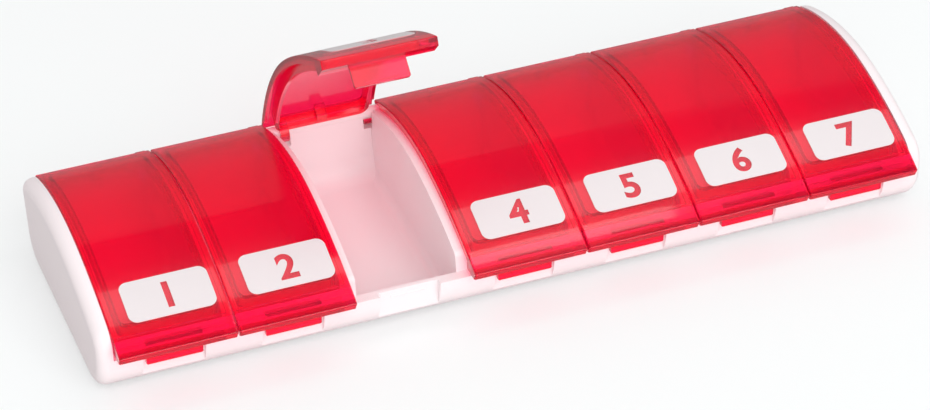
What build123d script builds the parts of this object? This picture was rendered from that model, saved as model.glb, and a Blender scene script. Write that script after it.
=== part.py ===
from build123d import *
import os
from math import asin, atan, cos, degrees, radians, sin, tan

# A weekly pill box: one moulded tray with a row of compartments, and a hinged clear lid on each.
# X runs along the row, +Y to the hinges, +Z up. The origin is the middle of the underside.
# Sizes are in millimetres and angles in degrees.

# The row
days = 7
day_pitch = 30.0
lid_gap = 0.4
lid_end_gap = 0.3
end_wall = 3.7
open_angles = {3: 50.0}

# The arched top: a rear arc and a flatter front arc that meet a little in front of the crown
crown_height = 26.7
crown_y = 7.0
rear_radius = 66.0
front_radius = 118.0
blend_angle = 9.0
lid_rear_y = 36.0

# The hull of the tray
rear_draft = 14.0
front_draft = 4.0
hull_front_y = -31.5
hull_rear_radius = 9.0
hull_front_straight = 2.0
hull_top_rear_radius = 3.4
hull_top_front_radius = 7.0
end_round = 2.8
floor_thickness = 1.6

# The compartments
divider_width = 4.0
front_wall = 2.8
ledge_drop = 6.9
scoop_share = 0.6
compartment_side_radius = 2.5
divider_front_radius = 2.0

# Slots that core out the thick dividers and end walls from below
core_wall = 1.2
end_core_width = 1.2

# The hinge: a round rail on top of the back wall, and windows under it for the lid's two hooks,
# of which one grips the rail from the front and the other from the rear
back_wall = 2.0
rail_radius = 1.6
rail_gap = 0.2
rail_proud = 0.1
rail_overhang = 0.6
hook_clearance = 0.06
hook_wall = 1.2
hook_width = 2.3
front_hook_setback = 2.9
rear_hook_setback = 0.3
hook_bite = 0.8
hook_angle = 186.0
window_side_gap = 0.4
window_bottom_gap = 0.5

# The lid
lid_skin = 1.15
skirt_depth = 2.1
skirt_wall = 1.1
seat_gap = 0.25
lip_overhang = 4.7
lip_depth = 2.25
rim_wall = 1.0
rim_depth = 4.25
rim_side_gap = 0.35
rim_front_gap = 0.8
rim_rear_gap = 0.6
lid_corner_radius = 0.5
lid_edge_radius = 0.4
lug_width = 2.7
lug_thickness = 1.6
gate_width = 1.5
gate_length = 0.5
gate_depth = 0.4
gate_setback = 1.0

# The snap tab under the lid's front lip, and its recess and catch on the front wall
tab_width = 14.2
tab_thickness = 1.15
tab_drop = 3.5
tab_corner = 0.3
recess_side_gap = 0.75
recess_depth = 1.75
snap_bead = 0.25
snap_gap = 0.1
bead_width = 9.0
bead_height = 0.9
catch_rise = 0.75

# The printed day field on the lid
label_left_margin = 5.3
label_right_margin = 2.3
label_length = 11.7
label_front_setback = 8.75
label_thickness = 0.10
label_lift = 0.01
label_corner = 2.2

# Derived places
right_angle = 90.0
lid_width = day_pitch - lid_gap
row_middle = (days + 1) / 2
day_centres = [(day - row_middle) * day_pitch for day in range(1, days + 1)]
divider_centres = [x + day_pitch / 2 for x in day_centres[:-1]]
bay_length = (days - 1) * day_pitch + lid_width + 2 * lid_end_gap
hull_length = bay_length + 2 * end_wall
compartment_width = day_pitch - divider_width

rear_centre_z = crown_height - rear_radius
front_centre_y = crown_y + (front_radius - rear_radius) * sin(radians(blend_angle))
front_centre_z = rear_centre_z - (front_radius - rear_radius) * cos(radians(blend_angle))


def rear_angle(y):
    """Angle from the crown back to the place y on the rear arc."""
    return degrees(asin((y - crown_y) / rear_radius))


def front_angle(y):
    """Angle from the vertical forward to the place y on the front arc."""
    return degrees(asin((front_centre_y - y) / front_radius))


def rear_point(angle, depth):
    """A point at a depth under the rear arc."""
    reach = rear_radius - depth
    return (crown_y + reach * sin(radians(angle)), rear_centre_z + reach * cos(radians(angle)))


def front_point(angle, depth):
    """A point at a depth under the front arc."""
    reach = front_radius - depth
    return (front_centre_y - reach * sin(radians(angle)), front_centre_z + reach * cos(radians(angle)))


def arch_line(rear, front, depth):
    """The arched line at a depth under the top, from a rear angle to a front angle."""
    rear_middle = rear_point((rear - blend_angle) / 2, depth)
    front_middle = front_point((front + blend_angle) / 2, depth)
    ThreePointArc(rear_point(rear, depth), rear_middle, front_point(blend_angle, depth))
    ThreePointArc(front_point(blend_angle, depth), front_middle, front_point(front, depth))


def arch_band(rear, front, top, bottom):
    """A closed band under the arch, between two depths."""
    with BuildLine() as band:
        arch_line(rear, front, top)
        arch_line(rear, front, bottom)
        Line(rear_point(rear, top), rear_point(rear, bottom))
        Line(front_point(front, top), front_point(front, bottom))
    make_face(band.edges())


def arc_band(point, start, stop, top, bottom):
    """A closed band under one arc alone; point is that arc's own point function."""
    middle = (start + stop) / 2
    with BuildLine() as band:
        ThreePointArc(point(start, top), point(middle, top), point(stop, top))
        Line(point(stop, top), point(stop, bottom))
        ThreePointArc(point(stop, bottom), point(middle, bottom), point(start, bottom))
        Line(point(start, bottom), point(start, top))
    make_face(band.edges())


lid_rear = rear_angle(lid_rear_y)
lid_front = front_angle(hull_front_y - lip_overhang)
seat_depth = skirt_depth + seat_gap

# The hinge axis lies behind the lid's rear edge, one skin, one gap and one rail radius deep.
rail_angle = lid_rear + degrees(rail_overhang / rear_radius)
hinge_y, hinge_z = rear_point(rail_angle, lid_skin + rail_gap + rail_radius)
hinge_axis = Axis((0, hinge_y, hinge_z), (-1, 0, 0))
front_hook_x = front_hook_setback - compartment_width / 2
rear_hook_x = compartment_width / 2 - rear_hook_setback
hook_inner = rail_radius + hook_clearance
hook_outer = hook_inner + hook_wall

# The front wall ends in a ledge under the lids' lips.
compartment_front_y = hull_front_y + front_wall
ledge_height = front_point(front_angle(compartment_front_y), 0)[1] - ledge_drop
scoop_radius = scoop_share * (ledge_height - floor_thickness)
hull_front_radius = ledge_height - hull_front_straight

# The back wall carries the rail and leans in towards the floor.
compartment_rear_y = hinge_y - rail_radius + rail_proud
back_face_y = compartment_rear_y + back_wall
back_lean = tan(radians(rear_draft))
front_lean = tan(radians(front_draft))
hull_bottom_rear_y = back_face_y - hinge_z * back_lean
hull_bottom_front_y = hull_front_y + ledge_height * front_lean

# The tab hangs in its recess, where its bead passes the catch ridge.
recess_floor_y = hull_front_y + recess_depth
tab_inner_y = recess_floor_y - 2 * snap_bead - snap_gap
tab_outer_y = tab_inner_y - tab_thickness
tab_bottom = ledge_height - tab_drop
above = 2 * crown_height
beyond = hull_length


def hull_outline():
    """The tray's side view: arched top, upright front, flat underside and leaning back."""
    top_rear_y = back_face_y + (rear_point(lid_rear, 0)[1] - hinge_z) * back_lean
    top_rear = rear_point(rear_angle(top_rear_y), 0)
    top_front = front_point(front_angle(hull_front_y), 0)
    with BuildLine() as outline:
        arch_line(rear_angle(top_rear_y), front_angle(hull_front_y), 0)
        Line(top_front, (hull_front_y, ledge_height))
        Line((hull_front_y, ledge_height), (hull_bottom_front_y, 0))
        Line((hull_bottom_front_y, 0), (hull_bottom_rear_y, 0))
        Line((hull_bottom_rear_y, 0), top_rear)
    make_face(outline.edges())
    corners = (
        (top_rear, hull_top_rear_radius),
        (top_front, hull_top_front_radius),
        ((hull_bottom_front_y, 0), hull_front_radius),
        ((hull_bottom_rear_y, 0), hull_rear_radius),
    )
    return corners


# One compartment as a tool to cut with: scooped floor, leaning back, rounded lower sides
with BuildPart() as compartment:
    with BuildSketch(Plane.YZ) as scoop:
        rear_floor_y = compartment_rear_y - (hinge_z - floor_thickness) * back_lean
        front_floor_y = compartment_front_y + (ledge_height - floor_thickness) * front_lean
        rear_top_y = compartment_rear_y + (above - hinge_z) * back_lean
        with BuildLine():
            Polyline(
                (rear_top_y, above),
                (rear_floor_y, floor_thickness),
                (front_floor_y, floor_thickness),
                (compartment_front_y, ledge_height),
                (compartment_front_y, above),
                close=True,
            )
        make_face()
        floor_corners = scoop.vertices().sort_by(Axis.Y)[:2]
        fillet(floor_corners, scoop_radius)
    extrude(amount=compartment_width / 2, both=True)
    with BuildSketch(Plane.XZ) as section:
        with Locations((0, floor_thickness)):
            Rectangle(compartment_width, above, align=(Align.CENTER, Align.MIN))
        fillet(section.vertices().sort_by(Axis.Y)[:2], compartment_side_radius)
    extrude(amount=beyond, both=True, mode=Mode.INTERSECT)

# The tray
with BuildPart() as base_tray:
    with BuildSketch(Plane.YZ) as hull:
        for corner, radius in hull_outline():
            fillet(hull.vertices().sort_by_distance(Vertex(*corner, 0))[0], radius)
    extrude(amount=hull_length / 2, both=True)
    end_faces = base_tray.faces().filter_by(Axis.X)
    fillet(end_faces.edges(), end_round)

    # The bay that the lids lie in, open at the front down to the ledge
    with BuildSketch(Plane.YZ) as bay:
        divider_front = front_angle(compartment_front_y)
        bay_rear = lid_rear + 2 * blend_angle
        with BuildLine():
            arch_line(bay_rear, divider_front, seat_depth)
            Polyline(
                front_point(divider_front, seat_depth),
                (compartment_front_y, ledge_height),
                (-beyond, ledge_height),
                (-beyond, above),
                (beyond, above),
                (beyond, rear_point(bay_rear, seat_depth)[1]),
                rear_point(bay_rear, seat_depth),
            )
        make_face()
        fillet(
            bay.vertices().sort_by_distance(Vertex(*front_point(divider_front, seat_depth), 0))[0],
            divider_front_radius,
        )
    extrude(amount=bay_length / 2, both=True, mode=Mode.SUBTRACT)

    # The compartments
    with Locations(*[(x, 0, 0) for x in day_centres]):
        add(compartment.part, mode=Mode.SUBTRACT)

    # Core slots under the dividers and the two end walls
    core_top = seat_depth + core_wall
    core_front_y = hull_bottom_front_y + hull_front_radius + core_wall
    core_rear_y = hull_bottom_rear_y - hull_rear_radius - core_wall
    end_core_x = day_centres[-1] + compartment_width / 2 + core_wall + end_core_width / 2
    core_slots = [(x, divider_width - 2 * core_wall) for x in divider_centres]
    core_slots += [(-end_core_x, end_core_width), (end_core_x, end_core_width)]
    for x, width in core_slots:
        with BuildSketch(Plane.YZ.offset(x)):
            rear_top = rear_point(rear_angle(core_rear_y), core_top)
            front_top = front_point(front_angle(core_front_y), core_top)
            with BuildLine():
                arch_line(rear_angle(core_rear_y), front_angle(core_front_y), core_top)
                Polyline(
                    front_top,
                    (front_top[0], -floor_thickness),
                    (rear_top[0], -floor_thickness),
                    rear_top,
                )
            make_face()
        extrude(amount=width / 2, both=True, mode=Mode.SUBTRACT)

    # Hinge windows through the back wall, then the rail across their tops
    window_width = hook_width + 2 * window_side_gap
    window_depth = 2 * (hook_outer + window_bottom_gap)
    window_height = 2 * hook_outer + window_bottom_gap
    window_top = hinge_z + hook_outer
    for x in day_centres:
        with Locations((x + front_hook_x, hinge_y, window_top), (x + rear_hook_x, hinge_y, window_top)):
            Box(
                window_width,
                window_depth,
                window_height,
                align=(Align.CENTER, Align.CENTER, Align.MAX),
                mode=Mode.SUBTRACT,
            )
    with Locations(Location((0, hinge_y, hinge_z), (0, right_angle, 0))):
        Cylinder(rail_radius, bay_length)

    # A flat recess in the front wall for each snap tab, which runs out on the round below it, with a low
    # catch ridge across
    recess_width = tab_width + 2 * recess_side_gap
    catch_z = tab_bottom + bead_height + catch_rise
    for x in day_centres:
        with BuildSketch(Plane.YZ.offset(x)):
            with BuildLine():
                Polyline(
                    (recess_floor_y, ledge_height),
                    (recess_floor_y, -recess_depth),
                    (-beyond, -recess_depth),
                    (-beyond, ledge_height),
                    close=True,
                )
            make_face()
        extrude(amount=recess_width / 2, both=True, mode=Mode.SUBTRACT)
        with Locations(Location((x, recess_floor_y, catch_z), (0, right_angle, 0))):
            Cylinder(snap_bead, bead_width)

base_tray.part.label = "base_tray"

# The lid's locating rim, which drops into the compartment: an upright rounded frame with a lug on its
# rear wall, kept between the skin and an arched lower edge
with BuildPart() as locating_rim:
    rim_front_y = compartment_front_y + rim_front_gap
    rim_length = compartment_rear_y - rim_rear_gap - rim_front_y
    rim_width = compartment_width - 2 * rim_side_gap
    rim_middle_y = rim_front_y + rim_length / 2
    with BuildSketch():
        with Locations((0, rim_middle_y)):
            RectangleRounded(rim_width, rim_length, compartment_side_radius)
            RectangleRounded(
                rim_width - 2 * rim_wall,
                rim_length - 2 * rim_wall,
                compartment_side_radius - rim_wall,
                mode=Mode.SUBTRACT,
            )
        with Locations((0, rim_front_y + rim_length - rim_wall)):
            Rectangle(lug_width, lug_thickness, align=(Align.CENTER, Align.MAX))
    extrude(amount=above)
    with BuildSketch(Plane.YZ):
        arch_band(lid_rear, lid_front, lid_skin / 2, rim_depth)
    extrude(amount=lid_width / 2, both=True, mode=Mode.INTERSECT)

# One lid, closed, on the middle of the row
with BuildPart() as lid:
    # The arched outside with a wedge under its front lip, its corners and upper edges rounded
    lip_bottom = front_point(lid_front, lip_depth)
    tab_arch = front_angle(tab_inner_y)
    with BuildSketch(Plane.YZ):
        arch_band(lid_rear, lid_front, 0, lip_depth)
        with BuildLine() as wedge:
            Polyline(
                front_point(lid_front, lid_skin),
                lip_bottom,
                (tab_inner_y, lip_bottom[1]),
                front_point(tab_arch, lid_skin),
                close=True,
            )
        make_face(wedge.edges())
    extrude(amount=lid_width / 2, both=True)
    front_face = lid.faces().filter_by(GeomType.PLANE).sort_by(Axis.Y)[0]
    fillet(front_face.edges().filter_by(Axis.X, reverse=True), lid_corner_radius)
    top_faces = lid.faces().filter_by(GeomType.CYLINDER).filter_by(
        lambda face: min(abs(face.radius - rear_radius), abs(face.radius - front_radius)) < lid_edge_radius
    )
    arc_joint_y = front_point(blend_angle, 0)[0]
    rim_edges = top_faces.edges().filter_by(
        lambda edge: abs(edge.center().Y - arc_joint_y) > lid_edge_radius or edge.geom_type != GeomType.LINE
    )
    fillet(rim_edges, lid_edge_radius)

    # Hollow under the skin: side skirts that stop in front of the rail, and the wedge at the front
    rim_rear_y = compartment_rear_y - rim_rear_gap
    past_rear = lid_rear + blend_angle
    with BuildSketch(Plane.YZ):
        arch_band(past_rear, tab_arch, lid_skin, 2 * lip_depth)
    extrude(amount=lid_width / 2 - skirt_wall, both=True, mode=Mode.SUBTRACT)
    with BuildSketch(Plane.YZ):
        arch_band(past_rear, tab_arch, skirt_depth, 2 * lip_depth)
        arc_band(rear_point, past_rear, rear_angle(rim_rear_y), lid_skin, 2 * lip_depth)
    extrude(amount=lid_width, both=True, mode=Mode.SUBTRACT)

    add(locating_rim.part)

    # The snap tab with its bead
    with BuildSketch(Plane.XZ.offset(-tab_outer_y)) as tab:
        tab_top = front_point(front_angle(tab_outer_y), lid_skin / 2)[1]
        with Locations((0, (tab_top + tab_bottom) / 2)):
            Rectangle(tab_width, tab_top - tab_bottom)
        chamfer(tab.vertices().sort_by(Axis.Y)[:2], tab_corner)
    extrude(amount=-tab_thickness)
    with Locations(Location((0, tab_inner_y, tab_bottom + bead_height), (0, right_angle, 0))):
        Cylinder(snap_bead, bead_width)

    # The hooks: each is rooted in the skin over the rail and curls round it, one forwards, one backwards
    hook_root = degrees(atan((rail_overhang + hook_bite) / (rail_radius + rail_gap)))
    hook_start = right_angle - rail_angle + hook_root
    for x, sweep_angle in ((front_hook_x, hook_angle), (rear_hook_x, -hook_angle)):
        with BuildSketch(Plane.YZ.offset(x)):
            with BuildLine():
                outer = CenterArc((hinge_y, hinge_z), hook_outer, hook_start, sweep_angle)
                inner = CenterArc((hinge_y, hinge_z), hook_inner, hook_start, sweep_angle)
                Line(outer @ 0, inner @ 0)
                Line(outer @ 1, inner @ 1)
            make_face()
        extrude(amount=hook_width / 2, both=True)

    # The mark of the moulding gate near the rear edge
    gate_y = lid_rear_y - gate_setback
    gate_z = rear_point(rear_angle(gate_y), 0)[1]
    with Locations((0, gate_y, gate_z)):
        Box(gate_width, gate_length, 2 * gate_depth, mode=Mode.SUBTRACT)

# One printed day field, on the same closed lid
with BuildPart() as label:
    label_stop = lid_front - degrees(label_front_setback / front_radius)
    label_start = label_stop - degrees(label_length / front_radius)
    with BuildSketch(Plane.YZ.offset(label_left_margin - lid_width / 2)):
        arc_band(front_point, label_start, label_stop, -label_lift - label_thickness, -label_lift)
    extrude(amount=lid_width - label_left_margin - label_right_margin)
    corner_edges = label.edges().filter_by(GeomType.LINE).filter_by(Axis.X, reverse=True)
    fillet(corner_edges, label_corner)

# Every day gets a copy, and a lid with an open angle stands open
os.makedirs("parts", exist_ok=True)
export_step(base_tray.part, "parts/base_tray.step")
for day, x in enumerate(day_centres, start=1):
    turn = open_angles.get(day, 0)
    for name, piece in (("lid", lid.part), ("label", label.part)):
        copy_of_piece = piece.rotate(hinge_axis, turn).moved(Location((x, 0, 0)))
        copy_of_piece.label = f"{name}_{day}"
        export_step(copy_of_piece, f"parts/{name}_{day}.step")

print("hinge axis", round(hinge_y, 3), round(hinge_z, 3))
print("hull length", hull_length, "lid width", lid_width)
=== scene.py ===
# %% [markdown]
# # A weekly pill box in Blender
#
# The box is a white moulded tray with seven compartments, each under its own clear red lid. The packed
# CAD model already has the right solids, in metres, with the hinges in place, so this lesson never
# moves or reshapes them. It gives them finishes, builds the seven printed day fields as finer pieces,
# and sets up the small photo studio that the box stands in.

# %% Load the frame
from math import radians

import bpy
from mathutils import Matrix, Vector


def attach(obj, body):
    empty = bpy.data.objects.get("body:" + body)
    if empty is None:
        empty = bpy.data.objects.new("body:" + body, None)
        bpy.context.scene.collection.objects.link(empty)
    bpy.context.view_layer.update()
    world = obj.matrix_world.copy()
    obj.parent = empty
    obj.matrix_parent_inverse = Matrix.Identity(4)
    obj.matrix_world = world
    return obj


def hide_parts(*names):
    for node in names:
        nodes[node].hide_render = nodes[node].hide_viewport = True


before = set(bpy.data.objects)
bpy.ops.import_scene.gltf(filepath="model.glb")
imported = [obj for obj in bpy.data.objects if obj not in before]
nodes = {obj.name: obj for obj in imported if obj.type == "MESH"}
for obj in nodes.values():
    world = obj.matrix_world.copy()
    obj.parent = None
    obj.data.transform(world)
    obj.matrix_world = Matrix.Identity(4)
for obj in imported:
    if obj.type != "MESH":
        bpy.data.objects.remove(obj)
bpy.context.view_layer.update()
days = range(1, 8)
middle_day = 4
MM = 0.001

# %% [markdown]
# ## The camera
#
# The product photo was taken with a long lens, from the left and well above the box. A camera can be
# turned by angles, but here its three axes are known from the corners of the lids, so they go straight
# into its matrix: the columns are its right, its up, its back and its place.

# %% Place the camera
camera_right = Vector((0.9332, -0.3593, 0.0))
camera_up = Vector((0.2175, 0.5651, 0.7958))
camera_back = Vector((-0.2859, -0.7427, 0.6056))
camera_place = Vector((-0.2683, -0.6874, 0.5690))

camera_data = bpy.data.cameras.new("photo_camera")
camera_data.sensor_width = 36.0
camera_data.lens = 142.14
camera = bpy.data.objects.new("photo_camera", camera_data)
bpy.context.scene.collection.objects.link(camera)
camera.matrix_world = Matrix(
    [[camera_right[i], camera_up[i], camera_back[i], camera_place[i]] for i in range(3)] + [[0, 0, 0, 1]]
)
bpy.context.scene.camera = camera
bpy.context.scene.view_settings.view_transform = "Standard"
print("camera lens:", camera_data.lens, "mm")


# %% [markdown]
# ## Small helpers for shader nodes
#
# Every material below is a tree of nodes. Three short helpers keep the cells readable: one adds a node and
# fills in its plain inputs, one starts an empty material with its output node, and one tells whether a ray
# is of any of several kinds.

# %% Helpers for node trees
def add_node(tree, kind, place, **values):
    """A new node at a place in the editor, with plain values on its named inputs."""
    node = tree.nodes.new(kind)
    node.location = place
    for name, value in values.items():
        node.inputs[name.replace("_", " ")].default_value = value
    return node


def new_material(name):
    """An empty node material and its output node."""
    material = bpy.data.materials.new(name)
    material.use_nodes = True
    material.node_tree.nodes.clear()
    output = add_node(material.node_tree, "ShaderNodeOutputMaterial", (600, 0))
    return material, material.node_tree, output


def largest(tree, sockets, place):
    """The largest of several sockets, for rays that count if any of their kinds does."""
    found = sockets[0]
    for step, socket in enumerate(sockets[1:]):
        node = add_node(tree, "ShaderNodeMath", (place[0] + 160 * step, place[1]))
        node.operation = "MAXIMUM"
        tree.links.new(found, node.inputs[0])
        tree.links.new(socket, node.inputs[1])
        found = node.outputs[0]
    return found


print("helpers are ready")

# %% [markdown]
# ## The moulded skin
#
# Injection-moulded plastic is never perfectly even. The melt leaves faint streaks of colour as it flows
# from the gate, and the tool's polish leaves a very fine ripple that breaks up the gloss. All three
# materials share that effect, so it is one node group: slow streaks for the colour, a finer mottle for the
# roughness, and a height for the Bump node. Each material sets its own strengths.

# %% Build the moulded skin group
moulded_skin = bpy.data.node_groups.new("moulded_skin", "ShaderNodeTree")
for name, kind, value in (
    ("Color", "NodeSocketColor", (0.8, 0.8, 0.8, 1.0)),
    ("Streak Color", "NodeSocketColor", (0.7, 0.7, 0.7, 1.0)),
    ("Streaks", "NodeSocketFloat", 0.5),
    ("Streak Scale", "NodeSocketFloat", 60.0),
    ("Roughness", "NodeSocketFloat", 0.3),
    ("Roughness Spread", "NodeSocketFloat", 0.1),
    ("Mottle Scale", "NodeSocketFloat", 900.0),
):
    socket = moulded_skin.interface.new_socket(name, in_out="INPUT", socket_type=kind)
    socket.default_value = value
for name, kind in (
    ("Color", "NodeSocketColor"),
    ("Roughness", "NodeSocketFloat"),
    ("Height", "NodeSocketFloat"),
):
    moulded_skin.interface.new_socket(name, in_out="OUTPUT", socket_type=kind)

skin_in = add_node(moulded_skin, "NodeGroupInput", (-900, 0))
skin_out = add_node(moulded_skin, "NodeGroupOutput", (500, 0))
skin_place = add_node(moulded_skin, "ShaderNodeTexCoord", (-900, 300))
flow = add_node(moulded_skin, "ShaderNodeMapping", (-700, 300), Scale=(1.0, 0.25, 1.0))
streaks = add_node(moulded_skin, "ShaderNodeTexNoise", (-500, 300), Detail=3.0, Roughness=0.55)
streak_share = add_node(moulded_skin, "ShaderNodeMath", (-250, 300))
streak_share.operation = "MULTIPLY"
streak_mix = add_node(moulded_skin, "ShaderNodeMix", (0, 200))
streak_mix.data_type = "RGBA"
mottle = add_node(moulded_skin, "ShaderNodeTexNoise", (-500, -100), Detail=2.0, Roughness=0.5)
centred = add_node(moulded_skin, "ShaderNodeMath", (-250, -100))
centred.operation = "SUBTRACT"
centred.inputs[1].default_value = 0.5
spread = add_node(moulded_skin, "ShaderNodeMath", (-50, -100))
spread.operation = "MULTIPLY_ADD"

link = moulded_skin.links.new
link(skin_place.outputs["Object"], flow.inputs["Vector"])
link(flow.outputs["Vector"], streaks.inputs["Vector"])
link(skin_in.outputs["Streak Scale"], streaks.inputs["Scale"])
link(streaks.outputs["Fac"], streak_share.inputs[0])
link(skin_in.outputs["Streaks"], streak_share.inputs[1])
link(streak_share.outputs[0], streak_mix.inputs["Factor"])
link(skin_in.outputs["Color"], streak_mix.inputs["A"])
link(skin_in.outputs["Streak Color"], streak_mix.inputs["B"])
link(skin_place.outputs["Object"], mottle.inputs["Vector"])
link(skin_in.outputs["Mottle Scale"], mottle.inputs["Scale"])
link(mottle.outputs["Fac"], centred.inputs[0])
link(centred.outputs[0], spread.inputs[0])
link(skin_in.outputs["Roughness Spread"], spread.inputs[1])
link(skin_in.outputs["Roughness"], spread.inputs[2])
link(streak_mix.outputs["Result"], skin_out.inputs["Color"])
link(spread.outputs[0], skin_out.inputs["Roughness"])
link(mottle.outputs["Fac"], skin_out.inputs["Height"])
print("moulded skin group:", len(moulded_skin.nodes), "nodes")


# %% Place the moulded skin in a material
def plastic(name, ripple, bump_distance, **skin_values):
    """A material whose Principled BSDF takes colour, roughness and ripple from the moulded skin."""
    material, tree, output = new_material(name)
    skin = add_node(tree, "ShaderNodeGroup", (-600, 0))
    skin.node_tree = moulded_skin
    for socket, value in skin_values.items():
        skin.inputs[socket.replace("_", " ")].default_value = value
    bump = add_node(tree, "ShaderNodeBump", (-250, -250), Strength=ripple, Distance=bump_distance)
    surface = add_node(tree, "ShaderNodeBsdfPrincipled", (0, 0))
    tree.links.new(skin.outputs["Color"], surface.inputs["Base Color"])
    tree.links.new(skin.outputs["Roughness"], surface.inputs["Roughness"])
    tree.links.new(skin.outputs["Height"], bump.inputs["Height"])
    tree.links.new(bump.outputs["Normal"], surface.inputs["Normal"])
    tree.links.new(surface.outputs["BSDF"], output.inputs["Surface"])
    return material, tree, surface, output


print("plastic helper is ready")

# %% [markdown]
# ## The white tray
#
# The tray is opaque white polypropylene with a satin polish. A plain white would look like plaster, so it
# has a soft gloss, a faint warm tint and the moulded skin's streaks. The tint counts most inside the
# compartments, where the light goes from wall to wall.

# %% Finish the tray
tray_plastic, _, tray_surface, _ = plastic(
    "tray_plastic",
    ripple=0.12,
    bump_distance=0.00005,
    Color=(0.94, 0.85, 0.865, 1.0),
    Streak_Color=(0.89, 0.80, 0.815, 1.0),
    Streaks=0.7,
    Streak_Scale=45.0,
    Roughness=0.36,
    Roughness_Spread=0.16,
    Mottle_Scale=1400.0,
)
tray_surface.inputs["IOR"].default_value = 1.49
tray_mesh = nodes["base_tray"].data
tray_mesh.materials.clear()
tray_mesh.materials.append(tray_plastic)
print("tray finish:", tray_mesh.materials[0].name)

# %% [markdown]
# ## The clear red lids
#
# The lids are clear plastic, dyed red through and through. Glass in Blender can take its colour at the
# surface or from the volume inside. The surface gives the even red of the thin skin. An absorbing volume
# adds what only thickness does: the rims, lips and tabs go deeper and darker where the light has further
# to travel. Only the outside is polished, so the body is a little rough, which blurs what lies under the
# lid, and a smooth coat on top carries the sharp reflections. Blender's glass stops the straight rays that
# look for a lamp, which would leave the compartments dark, so those rays alone meet a plain transparent
# red.

# %% Finish the lids
lid_plastic, lid_tree, lid_surface, lid_output = plastic(
    "lid_plastic",
    ripple=0.05,
    bump_distance=0.00005,
    Color=(0.98, 0.010, 0.110, 1.0),
    Streak_Color=(0.94, 0.006, 0.080, 1.0),
    Streaks=0.8,
    Streak_Scale=70.0,
    Roughness=0.17,
    Roughness_Spread=0.05,
    Mottle_Scale=500.0,
)
lid_surface.inputs["Transmission Weight"].default_value = 0.87
lid_surface.inputs["IOR"].default_value = 1.46
lid_surface.inputs["Coat Weight"].default_value = 0.6
lid_surface.inputs["Coat Roughness"].default_value = 0.03
dye = add_node(lid_tree, "ShaderNodeVolumeAbsorption", (300, -250), Density=60.0)
dye.inputs["Color"].default_value = (0.75, 0.0, 0.15, 1.0)
lid_tree.links.new(dye.outputs["Volume"], lid_output.inputs["Volume"])
lamp_ray = add_node(lid_tree, "ShaderNodeLightPath", (0, 350))
lamp_red = add_node(lid_tree, "ShaderNodeBsdfTransparent", (0, -400), Color=(0.95, 0.28, 0.52, 1.0))
lamp_pick = add_node(lid_tree, "ShaderNodeMixShader", (350, 100))
lid_tree.links.new(lamp_ray.outputs["Is Shadow Ray"], lamp_pick.inputs["Fac"])
lid_tree.links.new(lid_surface.outputs["BSDF"], lamp_pick.inputs[1])
lid_tree.links.new(lamp_red.outputs["BSDF"], lamp_pick.inputs[2])
lid_tree.links.new(lamp_pick.outputs["Shader"], lid_output.inputs["Surface"])
for day in days:
    lid_mesh = nodes[f"lid_{day}"].data
    lid_mesh.materials.clear()
    lid_mesh.materials.append(lid_plastic)
print("lids finished:", len(days))

# %% [markdown]
# ## The printed day fields
#
# Each lid carries a white printed field with rounded corners, in which the day stands as a gap in the ink,
# so that the red of the lid shows through. This box numbers its days from 1 to 7. The field is drawn flat
# first: a rectangle with bevelled corners and a numeral become one flat curve, and a flat curve fills only
# between its outlines, which leaves the numeral open. A text object only gets bolder by its offset as long
# as it is text, so the numeral becomes a mesh first, of which the boundary edges alone are kept.

# %% Sizes of a day field
field_left, field_right = -9.5 * MM, 12.5 * MM
field_width = field_right - field_left
field_middle = (field_left + field_right) / 2
field_length = 11.7 * MM
field_corner = 2.2 * MM
corner_segments = 8
text_size = 10 * MM
text_steps = 10
numeral_weight = 0.33 * MM
numeral_height = 7.4 * MM
day_pitch = 30.0 * MM
weld_distance = 0.001 * MM


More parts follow.
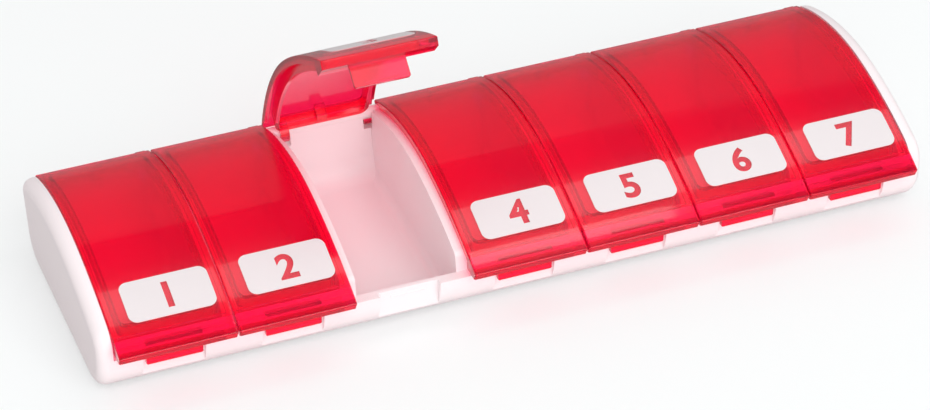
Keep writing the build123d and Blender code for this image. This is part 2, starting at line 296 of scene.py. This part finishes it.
# %% Draw one field flat
def flat_field(day):
    """A flat mesh at the origin, X across the lid and Y towards the hinge, with an open numeral."""
    bpy.ops.object.select_all(action="DESELECT")
    bpy.ops.mesh.primitive_plane_add(size=1.0)
    outline = bpy.context.object
    bpy.ops.object.mode_set(mode="EDIT")
    bpy.ops.mesh.select_all(action="SELECT")
    bpy.ops.transform.resize(value=(field_width, field_length, 1.0))
    bpy.ops.mesh.bevel(offset=field_corner, segments=corner_segments, affect="VERTICES")
    bpy.ops.mesh.select_all(action="SELECT")
    bpy.ops.mesh.delete(type="ONLY_FACE")
    bpy.ops.object.mode_set(mode="OBJECT")
    bpy.ops.object.convert(target="CURVE")

    bpy.ops.object.select_all(action="DESELECT")
    bpy.ops.object.text_add()
    numeral = bpy.context.object
    numeral.data.body = str(day)
    numeral.data.size = text_size
    numeral.data.offset = numeral_weight
    numeral.data.resolution_u = text_steps
    numeral.data.fill_mode = "FRONT"
    bpy.ops.object.convert(target="MESH")
    bpy.ops.object.mode_set(mode="EDIT")
    bpy.ops.mesh.select_mode(type="EDGE")
    bpy.ops.mesh.select_all(action="SELECT")
    bpy.ops.mesh.remove_doubles(threshold=weld_distance)
    bpy.ops.mesh.region_to_loop()
    bpy.ops.mesh.select_all(action="INVERT")
    bpy.ops.mesh.delete(type="EDGE")
    bpy.ops.mesh.select_all(action="SELECT")
    bpy.ops.mesh.delete(type="ONLY_FACE")
    bpy.ops.mesh.select_mode(type="VERT")
    bpy.ops.object.mode_set(mode="OBJECT")
    bpy.ops.object.convert(target="CURVE")
    bpy.context.view_layer.update()
    corners = [Vector(corner) for corner in numeral.bound_box]
    low = Vector(map(min, *corners))
    high = Vector(map(max, *corners))
    grow = numeral_height / (high.y - low.y)
    numeral.data.transform(Matrix.Scale(grow, 4) @ Matrix.Translation(-(low + high) / 2))

    numeral.select_set(True)
    outline.select_set(True)
    bpy.context.view_layer.objects.active = outline
    bpy.ops.object.join()
    outline.data.dimensions = "2D"
    outline.data.fill_mode = "BOTH"
    bpy.ops.object.convert(target="MESH")
    field = bpy.context.object
    field.name = field.data.name = f"day_field_{day}"
    return field


# %% [markdown]
# ## Laying a field on its lid
#
# The lid is arched, so the flat field needs cuts across it before it can bend. Bisecting it at even steps
# gives it those cuts. Its points then go from flat to round: the distance along the field becomes an angle
# on the lid's front arc. A Solidify modifier makes the ink a closed film, and the third field is turned
# about the hinge with its open lid.

# %% Bend a field onto the lid
arc_centre_y, arc_centre_z = 15.1345 * MM, -90.660 * MM
arc_radius = 118.0 * MM
field_first, field_last = radians(15.858), radians(21.539)
ink_lift, ink_thickness = 0.02 * MM, 0.09 * MM
hinge = Vector((0.0, 35.218 * MM, 17.083 * MM))
open_day, open_angle = 3, radians(50.0)
cuts = 14
smooth_angle = radians(30.0)


def bend_onto_lid(field, day):
    """Cuts the flat field across, wraps it on the front arc and gives the ink its thickness."""
    bpy.ops.object.select_all(action="DESELECT")
    field.select_set(True)
    bpy.context.view_layer.objects.active = field
    bpy.ops.object.mode_set(mode="EDIT")
    bpy.ops.mesh.select_all(action="SELECT")
    bpy.ops.mesh.remove_doubles(threshold=weld_distance)
    for cut in range(1, cuts):
        bpy.ops.mesh.select_all(action="SELECT")
        cut_y = field_length * (cut / cuts - 0.5)
        bpy.ops.mesh.bisect(plane_co=(0.0, cut_y, 0.0), plane_no=(0.0, 1.0, 0.0))
    bpy.ops.object.mode_set(mode="OBJECT")

    middle = (field_first + field_last) / 2
    day_x = (day - middle_day) * day_pitch
    turn = Matrix.Rotation(middle, 4, "X")
    lay = Matrix.Translation((day_x + field_middle, arc_centre_y, arc_centre_z))
    for vertex in field.data.vertices:
        around = Matrix.Rotation(-vertex.co.y / arc_radius, 4, "X")
        on_arc = around @ Vector((vertex.co.x, 0.0, arc_radius + ink_lift))
        vertex.co = lay @ turn @ on_arc
    if day == open_day:
        swing = Matrix.Rotation(-open_angle, 4, "X")
        field.data.transform(Matrix.Translation(hinge) @ swing @ Matrix.Translation(-hinge))

    bpy.ops.object.mode_set(mode="EDIT")
    bpy.ops.mesh.select_all(action="SELECT")
    bpy.ops.mesh.normals_make_consistent(inside=False)
    bpy.ops.object.mode_set(mode="OBJECT")
    ink = field.modifiers.new("ink", "SOLIDIFY")
    ink.thickness = ink_thickness
    ink.offset = 1.0
    bpy.ops.object.modifier_apply(modifier="ink")
    bpy.ops.object.shade_smooth_by_angle(angle=smooth_angle)
    return field


# %% [markdown]
# ## The ink
#
# Printed ink on a glossy lid is a little duller than the plastic round it, and a screen print isn't quite
# even. It uses the same moulded skin, with a fine mottle and more roughness.

# %% Make the fields and their ink
label_print, *_ = plastic(
    "label_print",
    ripple=0.1,
    bump_distance=0.00003,
    Color=(0.78, 0.725, 0.735, 1.0),
    Streak_Color=(0.73, 0.675, 0.685, 1.0),
    Streaks=0.6,
    Streak_Scale=160.0,
    Roughness=0.42,
    Roughness_Spread=0.15,
    Mottle_Scale=2500.0,
)
for day in days:
    day_field = bend_onto_lid(flat_field(day), day)
    day_field.data.materials.clear()
    day_field.data.materials.append(label_print)
    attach(day_field, f"lid_{day}")
    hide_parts(f"label_{day}")
    print(day_field.name, "faces:", len(day_field.data.polygons))

# %% [markdown]
# ## The studio floor
#
# The photo has a pure white ground with a soft grey shadow. A white floor alone would turn grey, so the
# rays that the camera or the clear lids send to it also meet a share of glow. The rest of its light is
# reflected, and that rest is what keeps the shadow. The gloss of the lids sees a darker floor, because the
# white ground of a product photo is often added later.

# %% Lay the floor
floor_size = 8.0
floor_drop = 0.2 * MM
floor_glow = 0.38
bpy.ops.object.select_all(action="DESELECT")
bpy.ops.mesh.primitive_plane_add(size=floor_size, location=(0.0, 0.0, -floor_drop))
floor = bpy.context.object
floor.name = "studio_floor"
floor_paper, floor_tree, floor_output = new_material("floor_paper")
paper = add_node(floor_tree, "ShaderNodeBsdfDiffuse", (-300, 250), Color=(0.87, 0.87, 0.87, 1.0))
mirrored_paper = add_node(floor_tree, "ShaderNodeBsdfDiffuse", (-300, 100), Color=(0.26, 0.26, 0.26, 1.0))
seen_paper = add_node(floor_tree, "ShaderNodeBsdfDiffuse", (-300, -50), Color=(0.54, 0.558, 0.558, 1.0))
glow = add_node(floor_tree, "ShaderNodeEmission", (-300, -200), Strength=floor_glow)
seen = add_node(floor_tree, "ShaderNodeAddShader", (-50, -100))
gloss_floor = add_node(floor_tree, "ShaderNodeMixShader", (0, 200))
pick = add_node(floor_tree, "ShaderNodeMixShader", (300, 0))
ray = add_node(floor_tree, "ShaderNodeLightPath", (-700, 300))
seen_rays = [ray.outputs[name] for name in ("Is Camera Ray", "Is Transmission Ray")]
floor_tree.links.new(seen_paper.outputs[0], seen.inputs[0])
floor_tree.links.new(glow.outputs[0], seen.inputs[1])
floor_tree.links.new(largest(floor_tree, seen_rays, (-450, 300)), pick.inputs["Fac"])
floor_tree.links.new(ray.outputs["Is Glossy Ray"], gloss_floor.inputs["Fac"])
floor_tree.links.new(paper.outputs[0], gloss_floor.inputs[1])
floor_tree.links.new(mirrored_paper.outputs[0], gloss_floor.inputs[2])
floor_tree.links.new(gloss_floor.outputs[0], pick.inputs[1])
floor_tree.links.new(seen.outputs[0], pick.inputs[2])
floor_tree.links.new(pick.outputs[0], floor_output.inputs["Surface"])
floor.data.materials.append(floor_paper)
print("floor laid")

# %% [markdown]
# ## The studio light
#
# The lids show what stands round them: the white sweep behind the box in their rear half, a dark gap above
# it, and the strip of an overhead soft box near the front. The world gives the sweep and the gap, by the
# height of each direction, and fills the shadows with an even white. A small soft box in front of the strip
# puts a second, short highlight on the middle lids. A large soft box in front is the key light, and a low
# card below it lifts the wall under the lids' lips.

# %% Build the world
fill_strength = 0.73
sweep_top = 0.80
sweep_blur = 0.01
sweep_strength = 0.19
gap_share = 0.04
world = bpy.data.worlds.new("studio")
world.use_nodes = True
bpy.context.scene.world = world
sky = world.node_tree
sky.nodes.clear()
sky_output = add_node(sky, "ShaderNodeOutputWorld", (700, 0))
fill = add_node(sky, "ShaderNodeBackground", (0, 150), Color=(1.0, 1.0, 1.0, 1.0), Strength=fill_strength)
ground_white = add_node(sky, "ShaderNodeBackground", (0, -250), Color=(1.0, 1.0, 1.0, 1.0), Strength=1.0)
sweep = add_node(sky, "ShaderNodeBackground", (0, -50), Strength=sweep_strength)
direction = add_node(sky, "ShaderNodeTexCoord", (-900, -50))
height = add_node(sky, "ShaderNodeSeparateXYZ", (-700, -50))
edge = add_node(sky, "ShaderNodeMapRange", (-500, -50))
edge.inputs["From Min"].default_value = sweep_top - sweep_blur
edge.inputs["From Max"].default_value = sweep_top + sweep_blur
edge.inputs["To Min"].default_value = 1.0
edge.inputs["To Max"].default_value = gap_share
sky.links.new(direction.outputs["Generated"], height.inputs[0])
sky.links.new(height.outputs["Z"], edge.inputs["Value"])
sky.links.new(edge.outputs["Result"], sweep.inputs["Color"])
sky_ray = add_node(sky, "ShaderNodeLightPath", (-400, 450))
gloss_pick = add_node(sky, "ShaderNodeMixShader", (250, 50))
white_pick = add_node(sky, "ShaderNodeMixShader", (480, 0))
white_rays = [sky_ray.outputs[name] for name in ("Is Camera Ray", "Is Transmission Ray")]
sky.links.new(sky_ray.outputs["Is Glossy Ray"], gloss_pick.inputs["Fac"])
sky.links.new(fill.outputs[0], gloss_pick.inputs[1])
sky.links.new(sweep.outputs[0], gloss_pick.inputs[2])
sky.links.new(largest(sky, white_rays, (-150, 450)), white_pick.inputs["Fac"])
sky.links.new(gloss_pick.outputs[0], white_pick.inputs[1])
sky.links.new(ground_white.outputs[0], white_pick.inputs[2])
sky.links.new(white_pick.outputs[0], sky_output.inputs["Surface"])
print("world nodes:", len(sky.nodes))


# %% Hang the soft boxes
def soft_box(name, place, aim, size, power):
    """A rectangular area lamp that looks at a point."""
    lamp_data = bpy.data.lights.new(name, "AREA")
    lamp_data.shape = "RECTANGLE"
    lamp_data.size, lamp_data.size_y = size
    lamp_data.energy = power
    lamp = bpy.data.objects.new(name, lamp_data)
    bpy.context.scene.collection.objects.link(lamp)
    lamp.location = place
    lamp.rotation_euler = (Vector(aim) - Vector(place)).to_track_quat("-Z", "Y").to_euler()
    lamp.visible_camera = False


# Each row gives a name, the place, the aim, the two sides and the power in watts.
for name, place, aim, size, power in (
    ("overhead_strip", (0.25, 0.205, 1.02), (0.25, 0.205, 0.0), (1.4, 0.20), 1.3),
    ("small_soft_box", (0.33, 0.02, 1.02), (0.33, 0.02, 0.0), (0.14, 0.07), 0.10),
    ("key_soft_box", (0.0, -1.00, 0.88), (0.0, 0.0, 0.0), (1.2, 1.2), 8.3),
    ("low_front_card", (0.05, -0.85, 0.12), (0.0, 0.0, 0.01), (1.6, 0.20), 1.2),
):
    soft_box(name, place, aim, size, power)
    print(name, power, "W")
